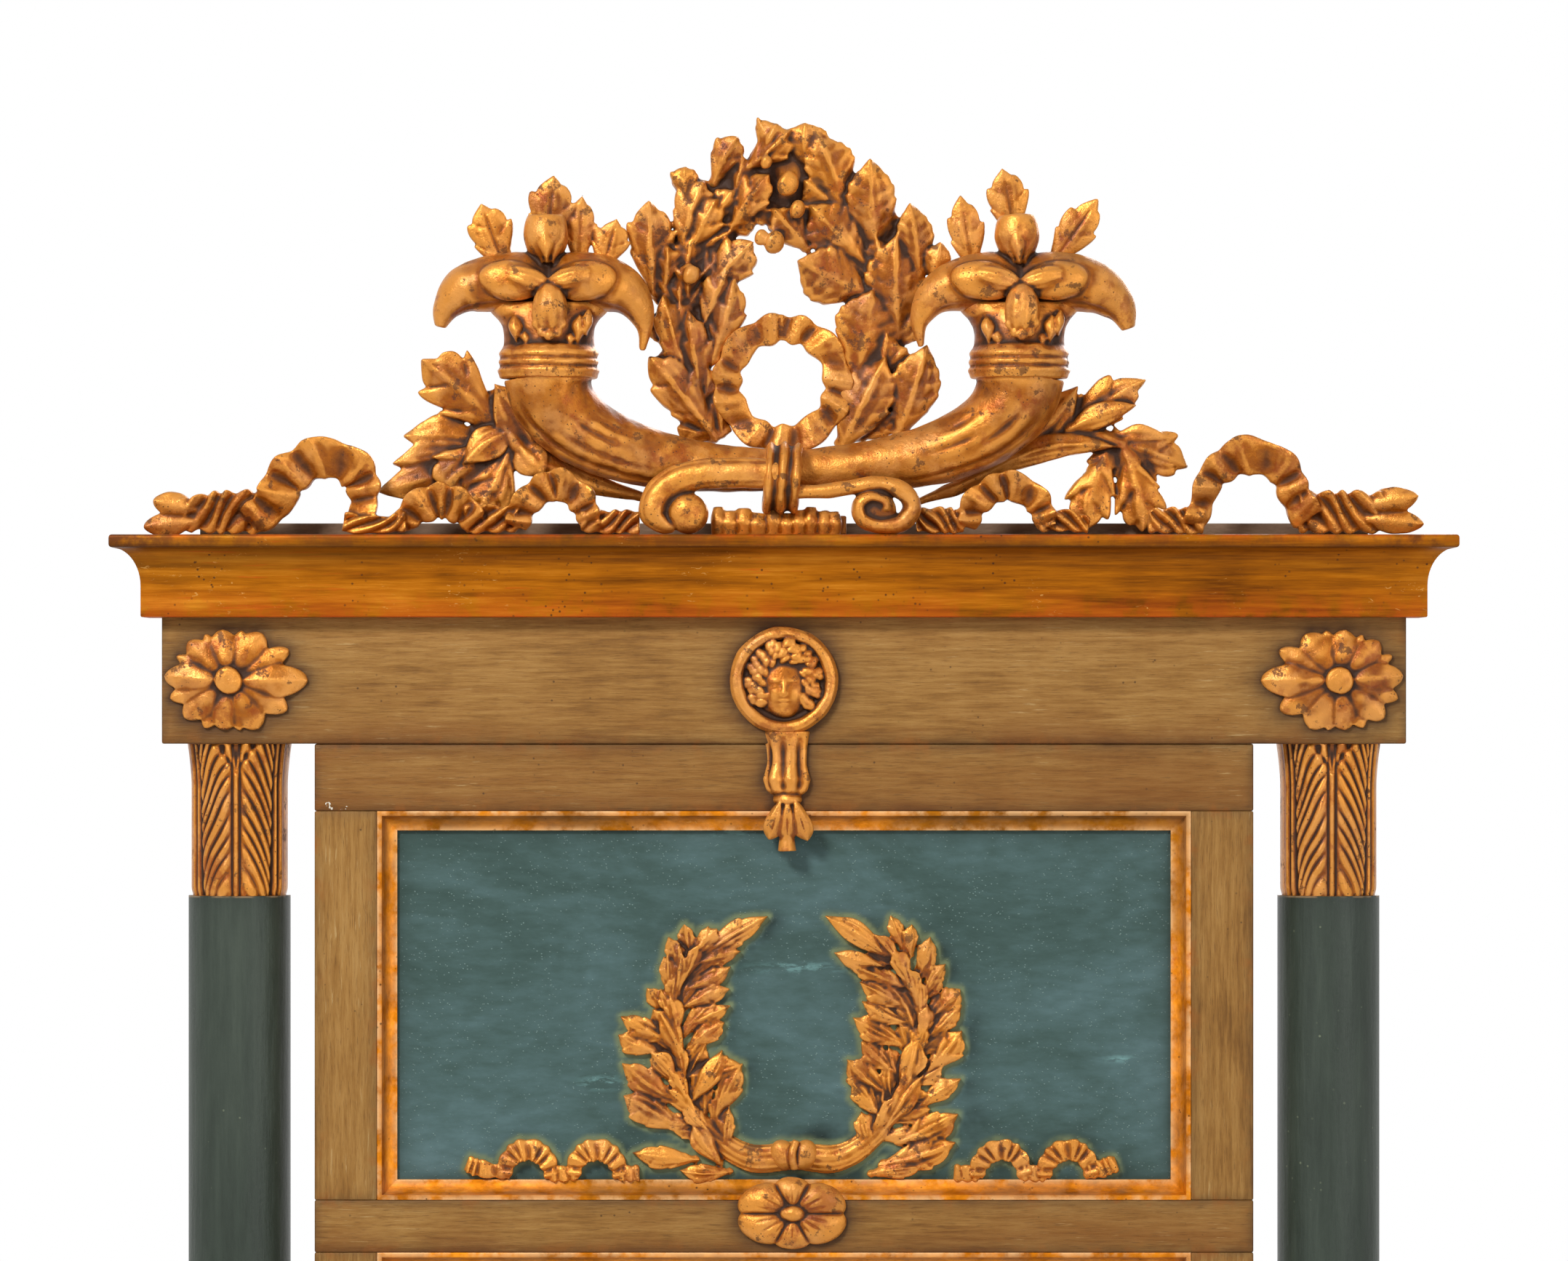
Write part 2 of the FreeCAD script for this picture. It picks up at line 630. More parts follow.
def block(name, x, z, width, height, front):
    item = doc.addObject("Part::Box", name)
    item.Label = name
    bind(item, "Length", width)
    bind(item, "Height", height)
    bind(item, "Width", frame_back - front)
    place(item, x, front, z)
    return item


blocks = []
for row, (level, height, front, count) in enumerate((
        (mirror_base, d.mirror_opening_height, plate_back, 4),
        (panel_base, d.panel_opening_height, panel_back, 2))):
    for step in range(count):
        z = level + height * ((step + 0.5) / count) - d.block_length / 2
        left = block(f"block_{row}_{step}_left", -(opening_width / 2), z, d.block_width,
                     d.block_length, front)
        right = block(f"block_{row}_{step}_right", opening_width / 2 - d.block_width, z,
                      d.block_width, d.block_length, front)
        blocks += [left, right]
    for hand in (-1, 1):
        x = opening_width / 4 * hand - d.block_length / 2
        blocks.append(block(f"block_{row}_low_{hand}", x, level, d.block_length, d.block_width, front))
        blocks.append(block(f"block_{row}_high_{hand}", x, level + height - d.block_width,
                            d.block_length, d.block_width, front))
gather("glue_blocks", blocks)


def headed_pin(shank, head, head_height, length):
    """Nail or screw along Y: head at the back, point towards the front, origin under the head."""
    pin = Part.makeCylinder(shank, length, Vector(0, 0, 0), Vector(0, -1, 0))
    cap = Part.makeCylinder(head, head_height, Vector(0, 0, 0), Vector(0, 1, 0))
    return pin.fuse(cap)


nail = headed_pin(float(d.nail_radius), float(d.nail_head_radius), float(d.nail_head_height),
                  float(d.backboard_thickness + d.nail_bite))
nail_x = float(opening_width / 2 + d.backboard_lap / 2)
nail_low = float(mirror_base - d.backboard_lap / 2)
nail_high = float(mirror_base + d.mirror_opening_height + d.backboard_lap / 2)
nails = []
for step in range(7):
    z = nail_low + (nail_high - nail_low) * step / 6
    for hand in (-1, 1):
        nails.append(nail.translated(Vector(nail_x * hand, float(backboard_back), z)))
for step in (-1, 0, 1):
    for z in (nail_low, nail_high):
        nails.append(nail.translated(Vector(nail_x * step / 2, float(backboard_back), z)))
carved("backboard_nails", Part.makeCompound(nails))

# Half columns: plain shaft, turned base, carved capital.
shaft = new_body("left_column_shaft")
pad(shaft, d_section(sketch_on(shaft, "XY_Plane"), column_radius, column_side), shaft_height)
bore_end(shaft, 0, 0, shaft_height, hole_depth, True)
bore_end(shaft, 0, 0, 0, hole_depth, False)
place(shaft, -column_x, column_y, shaft_base)
mirrored("right_column_shaft", shaft)

foot = new_body("left_column_base")
neck = column_radius - d.base_neck_inset
torus = 2 * d.base_torus_radius
roll_top = d.column_base_height
roll_low = roll_top - 2 * d.base_roll_radius
torus_top = d.base_fillet_height + torus
turn_outline = ((0, 0), (neck, 0), (neck, d.base_fillet_height, d.base_torus_radius, 1),
                (neck, torus_top), (neck, roll_low, d.base_roll_radius, 1), (neck, roll_top), (0, roll_top))
turning = outline(sketch_on(foot, "XZ_Plane"), turn_outline)
turn(foot, turning)
behind = 2 * column_radius
slab = sketch_on(foot, "XY_Plane", (0, column_side + behind / 2, 0))
pocket(foot, rectangle(slab, 4 * column_radius, behind), flip=True)
bore_end(foot, 0, 0, 0, d.column_base_height, False)
place(foot, -column_x, column_y, d.plinth_height)
gather("column_bases", [foot, mirrored("right_column_base", foot)])


def d_wire(radius, side, level):
    front = Part.Arc(Vector(-radius, 0, level), Vector(0, -radius, level), Vector(radius, 0, level))
    back = Part.makePolygon([Vector(radius, 0, level), Vector(radius, side, level),
                             Vector(-radius, side, level), Vector(-radius, 0, level)])
    return Part.Wire([front.toShape()] + back.Edges)


def capital_core(extra):
    radius = float(column_radius) + extra
    side = float(column_side)
    levels = ((0, 0), (float(d.capital_neck), 0), (float(d.capital_height), float(d.capital_flare)))
    wires = [d_wire(radius + grow, side, level) for level, grow in levels]
    return Part.makeLoft(wires, True, True)


def prism(points, depth):
    """Front view outline (x, z) drawn out towards the front."""
    corners = [Vector(x, 0, z) for x, z in points]
    face = Part.Face(Part.makePolygon(corners + corners[:1]))
    return face.extrude(Vector(0, -depth, 0))


def capital():
    half = float(d.capital_leaf_width) / 2
    top = float(d.capital_height)
    notch = float(d.capital_notch)
    relief = float(d.capital_leaf_relief)
    reach = float(column_radius) + float(d.capital_flare) + 2 * relief
    rib = relief / 2
    head = top - relief
    gap = 0.6 * relief
    left_half = prism(((-half, 0), (-gap, 0), (-gap, head - notch), (-half * 0.72, head), (-half, head)),
                      reach)
    right_half = left_half.mirror(Vector(), Vector(1, 0, 0))
    midrib = prism(((-rib, 0), (rib, 0), (rib, head - notch), (-rib, head - notch)), reach)
    inner_leaf = prism(((0, head - notch * 0.8), (half * 0.6, head), (-half * 0.6, head)), reach)
    side_reed = prism(((half + gap, 0), (half + 3 * relief, 0), (half + 3 * relief, head),
                       (half + gap, head)), reach)
    other_reed = side_reed.mirror(Vector(), Vector(1, 0, 0))
    raised = capital_core(relief)
    shape = capital_core(-relief / 2)
    shape = shape.multiFuse([raised.common(item) for item in (
        left_half, right_half, midrib, inner_leaf, side_reed, other_reed)])
    bore = Part.makeCylinder(float(hole_radius), top)
    return shape.cut(bore)


capital_shape = capital()
left_capital = carved("left_capital", capital_shape, -column_x, column_y, shaft_base + shaft_height)
mirrored("right_capital", left_capital)


# Carved leaves and flowers. A leaf stands up along Z, flat at the back, with a raised midrib.
def leaf(length, width, height, belly=0.45):
    side = width / 2
    base = Vector(0, 0, 0)
    tip = Vector(0, 0, length)
    right = Part.Arc(base, Vector(side, 0, length * belly), tip).toShape()
    left = Part.Arc(tip, Vector(-side, 0, length * belly), base).toShape()
    blank = Part.Face(Part.Wire([right, left])).extrude(Vector(0, -height, 0))
    edge = height * 0.4
    ridge = (Vector(0, -height, 0), Vector(width, -height + 2 * (height - edge), 0),
             Vector(-width, -height + 2 * (height - edge), 0))
    roof = Part.Face(Part.makePolygon(ridge + ridge[:1])).extrude(Vector(0, 0, 2 * length))
    return blank.common(roof.translated(Vector(0, 0, -length / 2)))


def set_leaf(x, z, angle, length, width, height, y=0.0, belly=0.45):
    """Leaf from (x, z), turned from upright towards +X by an angle in degrees."""
    shape = leaf(length, width, height, belly)
    shape.rotate(Vector(0, 0, 0), Vector(0, 1, 0), angle)
    shape.translate(Vector(x, y, z))
    return shape


def joined(shapes):
    shape = shapes[0].multiFuse(shapes[1:])
    solids = shape.Solids
    return solids[0] if len(solids) == 1 else Part.makeCompound(solids)


def disc(radius, height):
    return Part.makeCylinder(radius, height, Vector(0, 0, 0), Vector(0, -1, 0))


def button(radius, height):
    ball = Part.makeSphere(radius, Vector(0, -height, 0))
    keep = Part.makeCylinder(2 * radius, 2 * radius + height, Vector(0, 0, 0), Vector(0, -1, 0))
    return ball.common(keep)


def flower(width, height, relief, boss, petals):
    """Oval flower: petals follow an ellipse, the two side petals are the longest."""
    shapes = [disc(1.5 * boss, relief * 0.75), button(boss, relief * 0.6)]
    for index in range(petals):
        turned = 2 * math.pi * index / petals
        across = math.sin(turned) / (width / 2)
        along = math.cos(turned) / (height / 2)
        reach = 1 / math.hypot(across, along)
        broad = 2 * math.pi * height * 0.27 / petals
        shapes.append(set_leaf(0, 0, math.degrees(turned), reach, broad * 1.5,
                               relief * (0.8 if index % 2 else 0.9), 0.0, 0.6))
    return joined(shapes)


rosette = flower(float(d.rosette_width), float(d.rosette_height), float(d.rosette_relief),
                 float(d.rosette_boss_radius), 12)
rosette_level = frieze_base + d.frieze_height / 2
left_rosette = carved("left_frieze_rosette", rosette, -column_x, -d.entablature_depth, rosette_level)
mirrored("right_frieze_rosette", left_rosette)
plinth_level = base_height + (d.plinth_height - base_height) / 2
small = flower(float(d.plinth_rosette_width), float(d.plinth_rosette_height), float(d.rosette_relief),
               float(d.plinth_boss_radius), 12)
plinth_rosette = carved("left_plinth_rosette", small, -column_x, -d.entablature_depth, plinth_level)
gather("plinth_rosettes", [plinth_rosette, mirrored("right_plinth_rosette", plinth_rosette)])
rail_flower = flower(float(d.rail_rosette_width), float(d.rail_rosette_height),
                     float(d.rosette_relief), float(d.rail_boss_radius), 8)
carved("mid_rail_rosette", rail_flower, d.rail_rosette_shift, frame_front,
       mid_rail_base + d.mid_rail_height / 2 + d.rail_rosette_lift)

# Medallion: turned disc with a rounded rim and a plain oval for the carved head, bell drop below.
medallion_level = frieze_base + d.frieze_height / 2


def spindle(length, radius):
    """Pointed oval solid along Z, from the origin up."""
    edge = Part.Arc(Vector(0, 0, 0), Vector(radius, 0, length / 2), Vector(0, 0, length)).toShape()
    axis = Part.makeLine(Vector(0, 0, length), Vector(0, 0, 0))
    return Part.Face(Part.Wire([edge, axis])).revolve(Vector(), Vector(0, 0, 1), 360)


def set_spindle(x, y, z, angle, length, radius):
    """Pointed oval about its middle, turned from upright towards +X."""
    shape = spindle(length, radius)
    shape.translate(Vector(0, 0, -length / 2))
    shape.rotate(Vector(), Vector(0, 1, 0), angle)
    shape.translate(Vector(x, y, z))
    return shape


def medallion():
    outer = float(d.medallion_radius)
    inner = outer - float(d.medallion_ring)
    relief = float(d.medallion_relief)
    rim = Part.makeTorus((outer + inner) / 2, (outer - inner) / 2, Vector(0, 0, 0), Vector(0, 1, 0))
    rim = rim.common(Part.makeCylinder(outer + 1, relief, Vector(0, 0, 0), Vector(0, -1, 0)))
    ground = disc((outer + inner) / 2, float(d.medallion_dish))
    height = float(d.head_height)
    oval = spindle(height, float(d.head_width) / 2).translated(Vector(0, 0, -height / 2))
    oval = oval.common(disc(outer, 2 * outer))
    return joined([rim, ground, oval])


carved("medallion", medallion(), 0, -d.entablature_depth, medallion_level)

drop = new_body("medallion_drop")
drop_outline = ((0, 0), (d.drop_radius * 0.3, 0), (d.drop_radius * 0.75, d.drop_length * 0.14),
                (d.drop_radius * 0.8, d.drop_length * 0.3), (d.drop_radius * 0.55, d.drop_length * 0.42),
                (d.drop_radius, d.drop_length * 0.52), (d.drop_radius * 0.9, d.drop_length * 0.8),
                (d.drop_radius * 0.85, d.drop_length), (0, d.drop_length))
turn(drop, outline(sketch_on(drop, "XZ_Plane"), drop_outline), 180, flip=True)
place(drop, 0, -d.entablature_depth, medallion_level - d.medallion_radius - d.drop_length)


# Rods and horns: round sections along a path in the front plane.
def section_ring(point, angle, radius):
    ring = Part.Wire(Part.makeCircle(radius))
    ring.rotate(Vector(), Vector(0, 1, 0), angle)
    ring.translate(point)
    return ring


def tapered_rod(points, radii):
    rings = []
    for index, point in enumerate(points):
        before = points[max(index - 1, 0)]
        after = points[min(index + 1, len(points) - 1)]
        way = after - before
        rings.append(section_ring(point, math.degrees(math.atan2(way.x, way.z)), radii[index]))
    return Part.makeLoft(rings, True, True)


def oval_ring(half_width, half_height, half_band, depth):
    """Oval band in the front plane, back on Y = 0."""
    rings = []
    for grow in (half_band, -half_band):
        oval = Part.Ellipse(Vector(0, 0, 0), half_height + grow, half_width + grow)
        wire = Part.Wire(oval.toShape())
        wire.rotate(Vector(), Vector(0, 0, 1), 90)
        wire.rotate(Vector(), Vector(1, 0, 0), 90)
        rings.append(wire)
    band = Part.Face(rings[0]).cut(Part.Face(rings[1]))
    return band.Faces[0].extrude(Vector(0, -depth, 0))


# Laurel sprays on the panel, with the knot and the pleated ribbons along its lower edge.
def spray(hand):
    """Half of an open laurel: flat stem on the panel, pairs of leaves and a leaf at its tip."""
    relief = float(d.spray_relief)
    width = float(d.spray_width)
    height = float(d.spray_height)
    reach = 2 * (width + height)
    stem = oval_ring(width, height, relief / 3, relief / 2)
    middle = Part.makeBox(reach, reach, reach, Vector(0, -reach / 2, -reach / 2))
    gap = Part.makeBox(width * 0.7, reach, reach, Vector(-width * 0.7, -reach / 2, 0))
    if hand > 0:
        middle.translate(Vector(-reach, 0, 0))
        gap.translate(Vector(width * 0.7, 0, 0))
    shapes = [stem.cut(middle).cut(gap)]
    for step in range(8):
        turned = math.radians(-66 + 16 * step)
        x = hand * width * math.cos(turned)
        z = height * math.sin(turned)
        grow = math.degrees(math.atan2(-hand * width * math.sin(turned), height * math.cos(turned)))
        size = 1 - 0.045 * step
        for lean, lift in ((-34, 0.31), (34, 0.77)):
            shapes.append(set_leaf(x, z, grow + lean, float(d.spray_leaf_length) * size,
                                   float(d.spray_leaf_width) * size, relief * 0.75, -lift - 0.13 * step))
    turned = math.radians(48)
    shapes.append(set_leaf(hand * width * math.cos(turned), height * math.sin(turned), -hand * 62,
                           float(d.spray_leaf_length) * 1.2, float(d.spray_leaf_width) * 0.6, relief * 0.7, -1.9))
    return joined(shapes)


def pleated_arch(x, z, inner, outer, depth, pleats):
    """Half ring of ribbon with folds across it, back on Y = 0."""
    rings = []
    for step in range(2 * pleats + 1):
        turned = math.pi * step / (2 * pleats)
        reach = outer if step % 2 else outer - 2
        way = Vector(math.cos(turned), 0, math.sin(turned))
        centre = Vector(x, 0, z)
        back = Vector(0, -depth, 0)
        corners = [centre + way * inner, centre + way * reach, centre + way * reach + back,
                   centre + way * inner + back]
        rings.append(Part.makePolygon(corners + corners[:1]))
    return Part.makeLoft(rings, True, True)


def pleated_strip(start, end, low, high, depth, pitch):
    """Flat run of ribbon with folds in its upper edge."""
    count = max(2, round(abs(end - start) / pitch))
    points = [(start, low)]
    for step in range(2 * count + 1):
        points.append((start + (end - start) * step / (2 * count), high - (2 if step % 2 else 0)))
    points.append((end, low))
    return prism(points, depth)


def pleated_ribbon(hand, start, reach, low, tail, depth, pitch, curls):
    """Ribbon lying on Z = 0: curls as (x, centre height, inner, outer) joined by flat runs."""
    shapes = []
    edge = start
    for x, z, inner, outer in sorted(curls):
        leg = inner + (outer - inner) / 2
        if x - leg > edge:
            shapes.append(pleated_strip(hand * edge, hand * (x - leg), 0, low, depth, pitch))
        shapes.append(pleated_arch(hand * x, z, inner, outer, depth, max(4, round(outer / 5))))
        for side in (-1, 1):
            near = x + side * inner
            far = x + side * (outer - 2)
            shapes.append(pleated_strip(hand * near, hand * far, 0, z + 1, depth, 2 * outer))
        edge = x + leg
    shapes.append(pleated_strip(hand * edge, hand * reach, 0, tail, depth, pitch))
    return joined(shapes)


spray_level = panel_base + d.spray_centre
knot_level = panel_base + d.spray_centre - d.spray_height
knot_shape = button(float(d.knot_radius), 0.0)
knot_gap = knot_shape.translated(Vector(0, 0, -float(d.spray_height)))
for hand, side in ((-1, "left"), (1, "right")):
    carved(f"{side}_laurel_spray", spray(hand).cut(knot_gap), 0, sight_back, spray_level)
carved("laurel_knot", knot_shape, 0, sight_back, knot_level)
panel_curls = ((117, 9, 4, 14), (160, 9, 4, 14))
panel_ribbons = []
for hand, side in ((-1, "left"), (1, "right")):
    strip = pleated_ribbon(hand, float(d.panel_ribbon_start), float(d.panel_ribbon_reach),
                           float(d.panel_ribbon_low), float(d.panel_ribbon_tail),
                           float(d.panel_ribbon_depth), float(d.ribbon_pleat), panel_curls)
    panel_ribbons.append(carved(f"{side}_panel_ribbon", strip, 0, sight_back, panel_base + sight_width))
gather("panel_ribbons", panel_ribbons)

# Crest. Shapes stand on Z = 0, the cornice top, with the wall at Y = 0.
crest_rail = board("crest_rail", d.crest_rail_width, d.crest_rail_height, d.crest_rail_thickness,
                   0, -d.crest_rail_back, crest_base + d.crest_rail_height / 2)
for hand in (-1, 1):
    bore_end(crest_rail, d.crest_dowel_x * hand, -(d.crest_rail_thickness / 2),
             -(d.crest_rail_height / 2), crest_dowel_depth + d.joint_end_gap, False, crest_hole)

horn_y = -float(d.horn_axis)
mouth_z = float(d.horn_rise)


def horn_point(share):
    """Point of the horn axis from the tie (0) to the mouth (1), right hand."""
    turned = share * math.pi / 2
    rise = mouth_z - float(d.horn_tail_height)
    return (float(d.horn_reach) * math.sin(turned),
            float(d.horn_tail_height) + rise * (1 - math.cos(turned)) ** 1.2)


def horn(hand):
    steps = [step / 9 for step in range(10)]
    tail = float(d.horn_tail_radius)
    grow = float(d.horn_mouth_radius) - tail
    rings = []
    for share in steps:
        x, z = horn_point(share)
        near = horn_point(max(share - 0.01, 0))
        far = horn_point(min(share + 0.01, 1))
        angle = math.degrees(math.atan2(far[0] - near[0], far[1] - near[1]))
        if share == 0:
            angle = 90
        if share == 1:
            angle = 0
        rings.append(section_ring(Vector(hand * x, horn_y, z), hand * angle, tail + grow * share))
    return Part.makeLoft(rings, True, True)


def horn_mouth(hand):
    """Collar of three rolls and a flaring cup on the horn's end."""
    body_radius = float(d.horn_mouth_radius)
    collar = float(d.collar_radius)
    height = float(d.collar_height)
    top = height + float(d.cup_height)
    points = [(0, 0), (body_radius, 0)]
    for step in range(3):
        low = height * step / 3
        points += [(collar - 1.5, low + height * 0.04), (collar, low + height / 6),
                   (collar - 1.5, low + height * 0.29)]
    points += [(body_radius - 1, height), (body_radius - 3, height + (top - height) / 2),
               (body_radius, top), (0, top)]
    wire = Part.makePolygon([Vector(x, 0, z) for x, z in points] + [Vector(0, 0, 0)])
    shape = Part.Face(wire).revolve(Vector(), Vector(0, 0, 1), 360)
    return shape.translated(Vector(hand * float(d.horn_reach), horn_y, mouth_z))


def horn_fruit(hand):
    """Drooping rim with fruits on it."""
    x = hand * float(d.horn_reach)
    top = mouth_z + float(d.rim_rise)
    thick = float(d.rim_radius)
    tip = float(d.rim_tip_radius)
    reach = float(d.rim_reach)
    path = []
    radii = []
    for step in range(9):
        turned = math.pi * step / 8
        path.append(Vector(x - reach * math.cos(turned), horn_y,
                           top - float(d.rim_droop) * (1 - math.sin(turned)) ** 1.3
                           - (4 if step in (0, 8) else 0)))
        radii.append(tip + (thick - tip) * math.sin(turned) ** 0.8)
    front = horn_y - thick * 0.45
    shapes = [tapered_rod(path, radii)]
    for side in (-1, 1):
        shapes.append(set_spindle(x + side * float(d.pod_length) * 0.52, front, top + 3, side * 84,
                                  float(d.pod_length), float(d.pod_radius)))
    shapes.append(set_spindle(x, front - 2, top - 16, 0, float(d.berry_length), float(d.berry_radius)))
    shapes.append(Part.makeSphere(float(d.bud_radius), Vector(x, horn_y, top + 28)))
    return joined(shapes)


LEFT_HORN_LEAVES = ((-32, 64, -20, 38, 23), (2, 80, 4, 38, 26), (20, 66, 6, 40, 17), (38, 62, 18, 28, 20))
RIGHT_HORN_LEAVES = ((-28, 64, -10, 38, 20), (-6, 80, -10, 44, 24), (22, 60, 40, 52, 22))


def horn_leaves(hand, rows, fruit):
    x = hand * float(d.horn_reach)
    shapes = []
    for across, rise, angle, length, width in rows:
        shapes.append(set_leaf(x + across, mouth_z + rise, angle, length, width,
                               float(d.acanthus_relief), horn_y + 7.0))
    return joined([shape.cut(fruit) for shape in shapes])


def scroll(hand, height, radius, turn_radius, eye):
    """Bar from the tie that rolls down into an eye."""
    y = -float(d.scroll_axis)
    eye_x = float(d.scroll_eye_x)
    middle = height - turn_radius
    path = [Vector(hand * eye_x * share, y, height) for share in (0.02, 0.25, 0.5, 0.75)]
    radii = [radius] * 4
    for step in range(8):
        turned = math.radians(90 - 30 * step)
        reach = turn_radius * (1 - 0.04 * step)
        path.append(Vector(hand * (eye_x + reach * math.cos(turned)), y, middle + reach * math.sin(turned)))
        radii.append(radius * (1 - 0.05 * step))
    bar = tapered_rod(path, radii)
    ball = Part.makeCylinder(eye, 2 * radius, Vector(hand * eye_x, y - radius, eye - 0.5), Vector(0, 1, 0))
    floor = Part.makeBox(400, 200, 100, Vector(-200, -200, -100))
    return joined([bar, ball]).cut(floor)


horns = {hand: horn(hand) for hand in (-1, 1)}
mouths = {hand: horn_mouth(hand) for hand in (-1, 1)}
fruits = {hand: horn_fruit(hand).cut(mouths[hand]) for hand in (-1, 1)}
scrolls = {
    -1: scroll(-1, float(d.left_scroll_height), float(d.left_scroll_radius), float(d.left_scroll_turn),
               float(d.left_scroll_eye)),
    1: scroll(1, float(d.right_scroll_height), float(d.right_scroll_radius), float(d.right_scroll_turn),
              float(d.right_scroll_eye))}


def wreath():
    """Open wreath: stem cut off above the horns, leaves in rows of three along it."""
    half_width = float(d.wreath_half_width)
    half_height = float(d.wreath_half_height)
    relief = float(d.wreath_leaf_relief)
    stem_depth = float(d.wreath_stem_depth)
    stem = oval_ring(half_width, half_height, float(d.wreath_stem), stem_depth)
    low = Part.makeBox(600, 200, 400, Vector(-300, -100, -400 - half_height * 0.62))
    shapes = [stem.cut(low)]
    for hand, size in ((-1, 0.88), (1, 1.0)):
        for step in range(8):
            turned = math.radians(-38 + 16 * step)
            x = hand * half_width * math.cos(turned)
            z = half_height * math.sin(turned)
            grow = math.degrees(math.atan2(-hand * half_width * math.sin(turned),
                                           half_height * math.cos(turned)))
            length = float(d.wreath_leaf_length) * size
            width = float(d.wreath_leaf_width) * size
            for lean, lift in ((-38, 2.0), (38, 3.0), (0, 8.0)):
                shapes.append(set_leaf(x, z, grow + lean, length * (0.8 if lean == 0 else 1), width,
                                       relief, -lift - 0.35 * step - (0.2 if hand > 0 else 0)))
    crown = set_leaf(0, half_height - 8, 0, float(d.wreath_leaf_length) * 0.85,
                     float(d.wreath_leaf_width), relief + 2, -3.3)
    shape = joined(shapes + [crown])
    return shape.translated(Vector(0, -float(d.wreath_back), float(d.wreath_centre)))


ring_seat = Part.makeCylinder(float(d.ring_outer_radius + d.joint_clearance), 200,
                              Vector(0, 0, float(d.ring_height)), Vector(0, -1, 0))
crown_wreath = wreath().cut(ring_seat)
for hand in (-1, 1):
    crown_wreath = crown_wreath.cut(horns[hand])
    crown_wreath = crown_wreath.cut(fruits[hand])
crown_wreath = max(crown_wreath.Solids, key=lambda solid: solid.Volume)

LEFT_ACANTHUS = ((-174, 68, -53, 56, 29), (-190, 62, -97, 42, 18), (-188, 50, -94, 52, 18),
                 (-205, 42, -112, 40, 16), (-165, 60, -156, 38, 28))
RIGHT_ACANTHUS = ((160, 68, 66, 62, 25), (140, 52, 44, 54, 20), (190, 58, 114, 60, 28),
                  (195, 50, 190, 44, 22), (207, 48, 169, 43, 24))
LEFT_STALK = ((-92, 25), (-125, 37), (-154, 52), (-172, 68), (-188, 60), (-208, 47))
RIGHT_STALK = ((92, 22), (125, 34), (149, 50), (175, 62), (195, 60), (208, 50))


def acanthus(rows, stalk):
    """Curving stalk with pointed leaves, flat at the back."""
    radius = float(d.acanthus_stalk)
    path = [Vector(x, -radius, z) for x, z in stalk]
    shapes = [tapered_rod(path, [radius - 0.8 * step for step in range(len(path))])]
    for index, (x, z, angle, length, width) in enumerate(rows):
        shapes.append(set_leaf(x, z, angle, length, width, float(d.acanthus_relief), -0.7 * index, 0.5))
    floor = Part.makeBox(1000, 200, 100, Vector(-500, -150, -100))
    return joined(shapes).cut(floor).translated(Vector(0, -float(d.acanthus_back), 0))


LEFT_CURLS = ((280, 24, 13, 36), (209.5, 11, 4, 20.5), (139, 12, 10, 28.5))
RIGHT_CURLS = ((283.5, 25, 17, 36.5), (136, 12, 11, 28))


def tie():
    """Oval band over horn tails and scroll bars."""
    width = float(d.tie_width)
    front = float(d.scroll_axis + d.left_scroll_radius + d.tie_wrap)
    back = float(d.horn_axis - d.horn_tail_radius - d.tie_wrap)
    oval = Part.Ellipse(Vector(0, 0, 0), (front - back) / 2, float(d.tie_half_height))
    face = Part.Face(Part.Wire(oval.toShape()))
    face.rotate(Vector(), Vector(0, 1, 0), 90)
    face.rotate(Vector(), Vector(1, 0, 0), 90)
    band = face.extrude(Vector(width, 0, 0))
    band.translate(Vector(-width / 2, -(front + back) / 2, float(d.tie_height)))
    return band


def fluting():
    """Row of upright reeds under the tie."""
    count = round(float(d.fluting_width) / (2 * float(d.flute_radius) - 0.4))
    pitch = float(d.fluting_width) / count
    depth = float(d.fluting_depth)
    height = float(d.fluting_height)
    back = -float(d.ribbon_back)
    half = float(d.fluting_width) / 2
    shapes = [Part.makeBox(2 * half, depth, height, Vector(-half, back - depth, 0))]
    for step in range(count):
        x = -half + pitch * (step + 0.5)
        shapes.append(Part.makeCylinder(float(d.flute_radius), height, Vector(x, back - depth, 0)))
    return joined(shapes)


band = tie()
ring_front = float(d.ring_axis + d.ring_pleat_outer + d.joint_clearance)
ring_pit = Part.makeCylinder(float(d.ring_outer_radius + d.joint_clearance), ring_front,
                             Vector(0, 0, float(d.ring_height)), Vector(0, -1, 0))
band = band.cut(ring_pit)
for hand in (-1, 1):
    band = band.cut(horns[hand])
    band = band.cut(scrolls[hand])
band = max(band.Solids, key=lambda solid: solid.Volume)
reeds = fluting().cut(tie())
for hand in (-1, 1):
    reeds = reeds.cut(scrolls[hand]).cut(horns[hand])

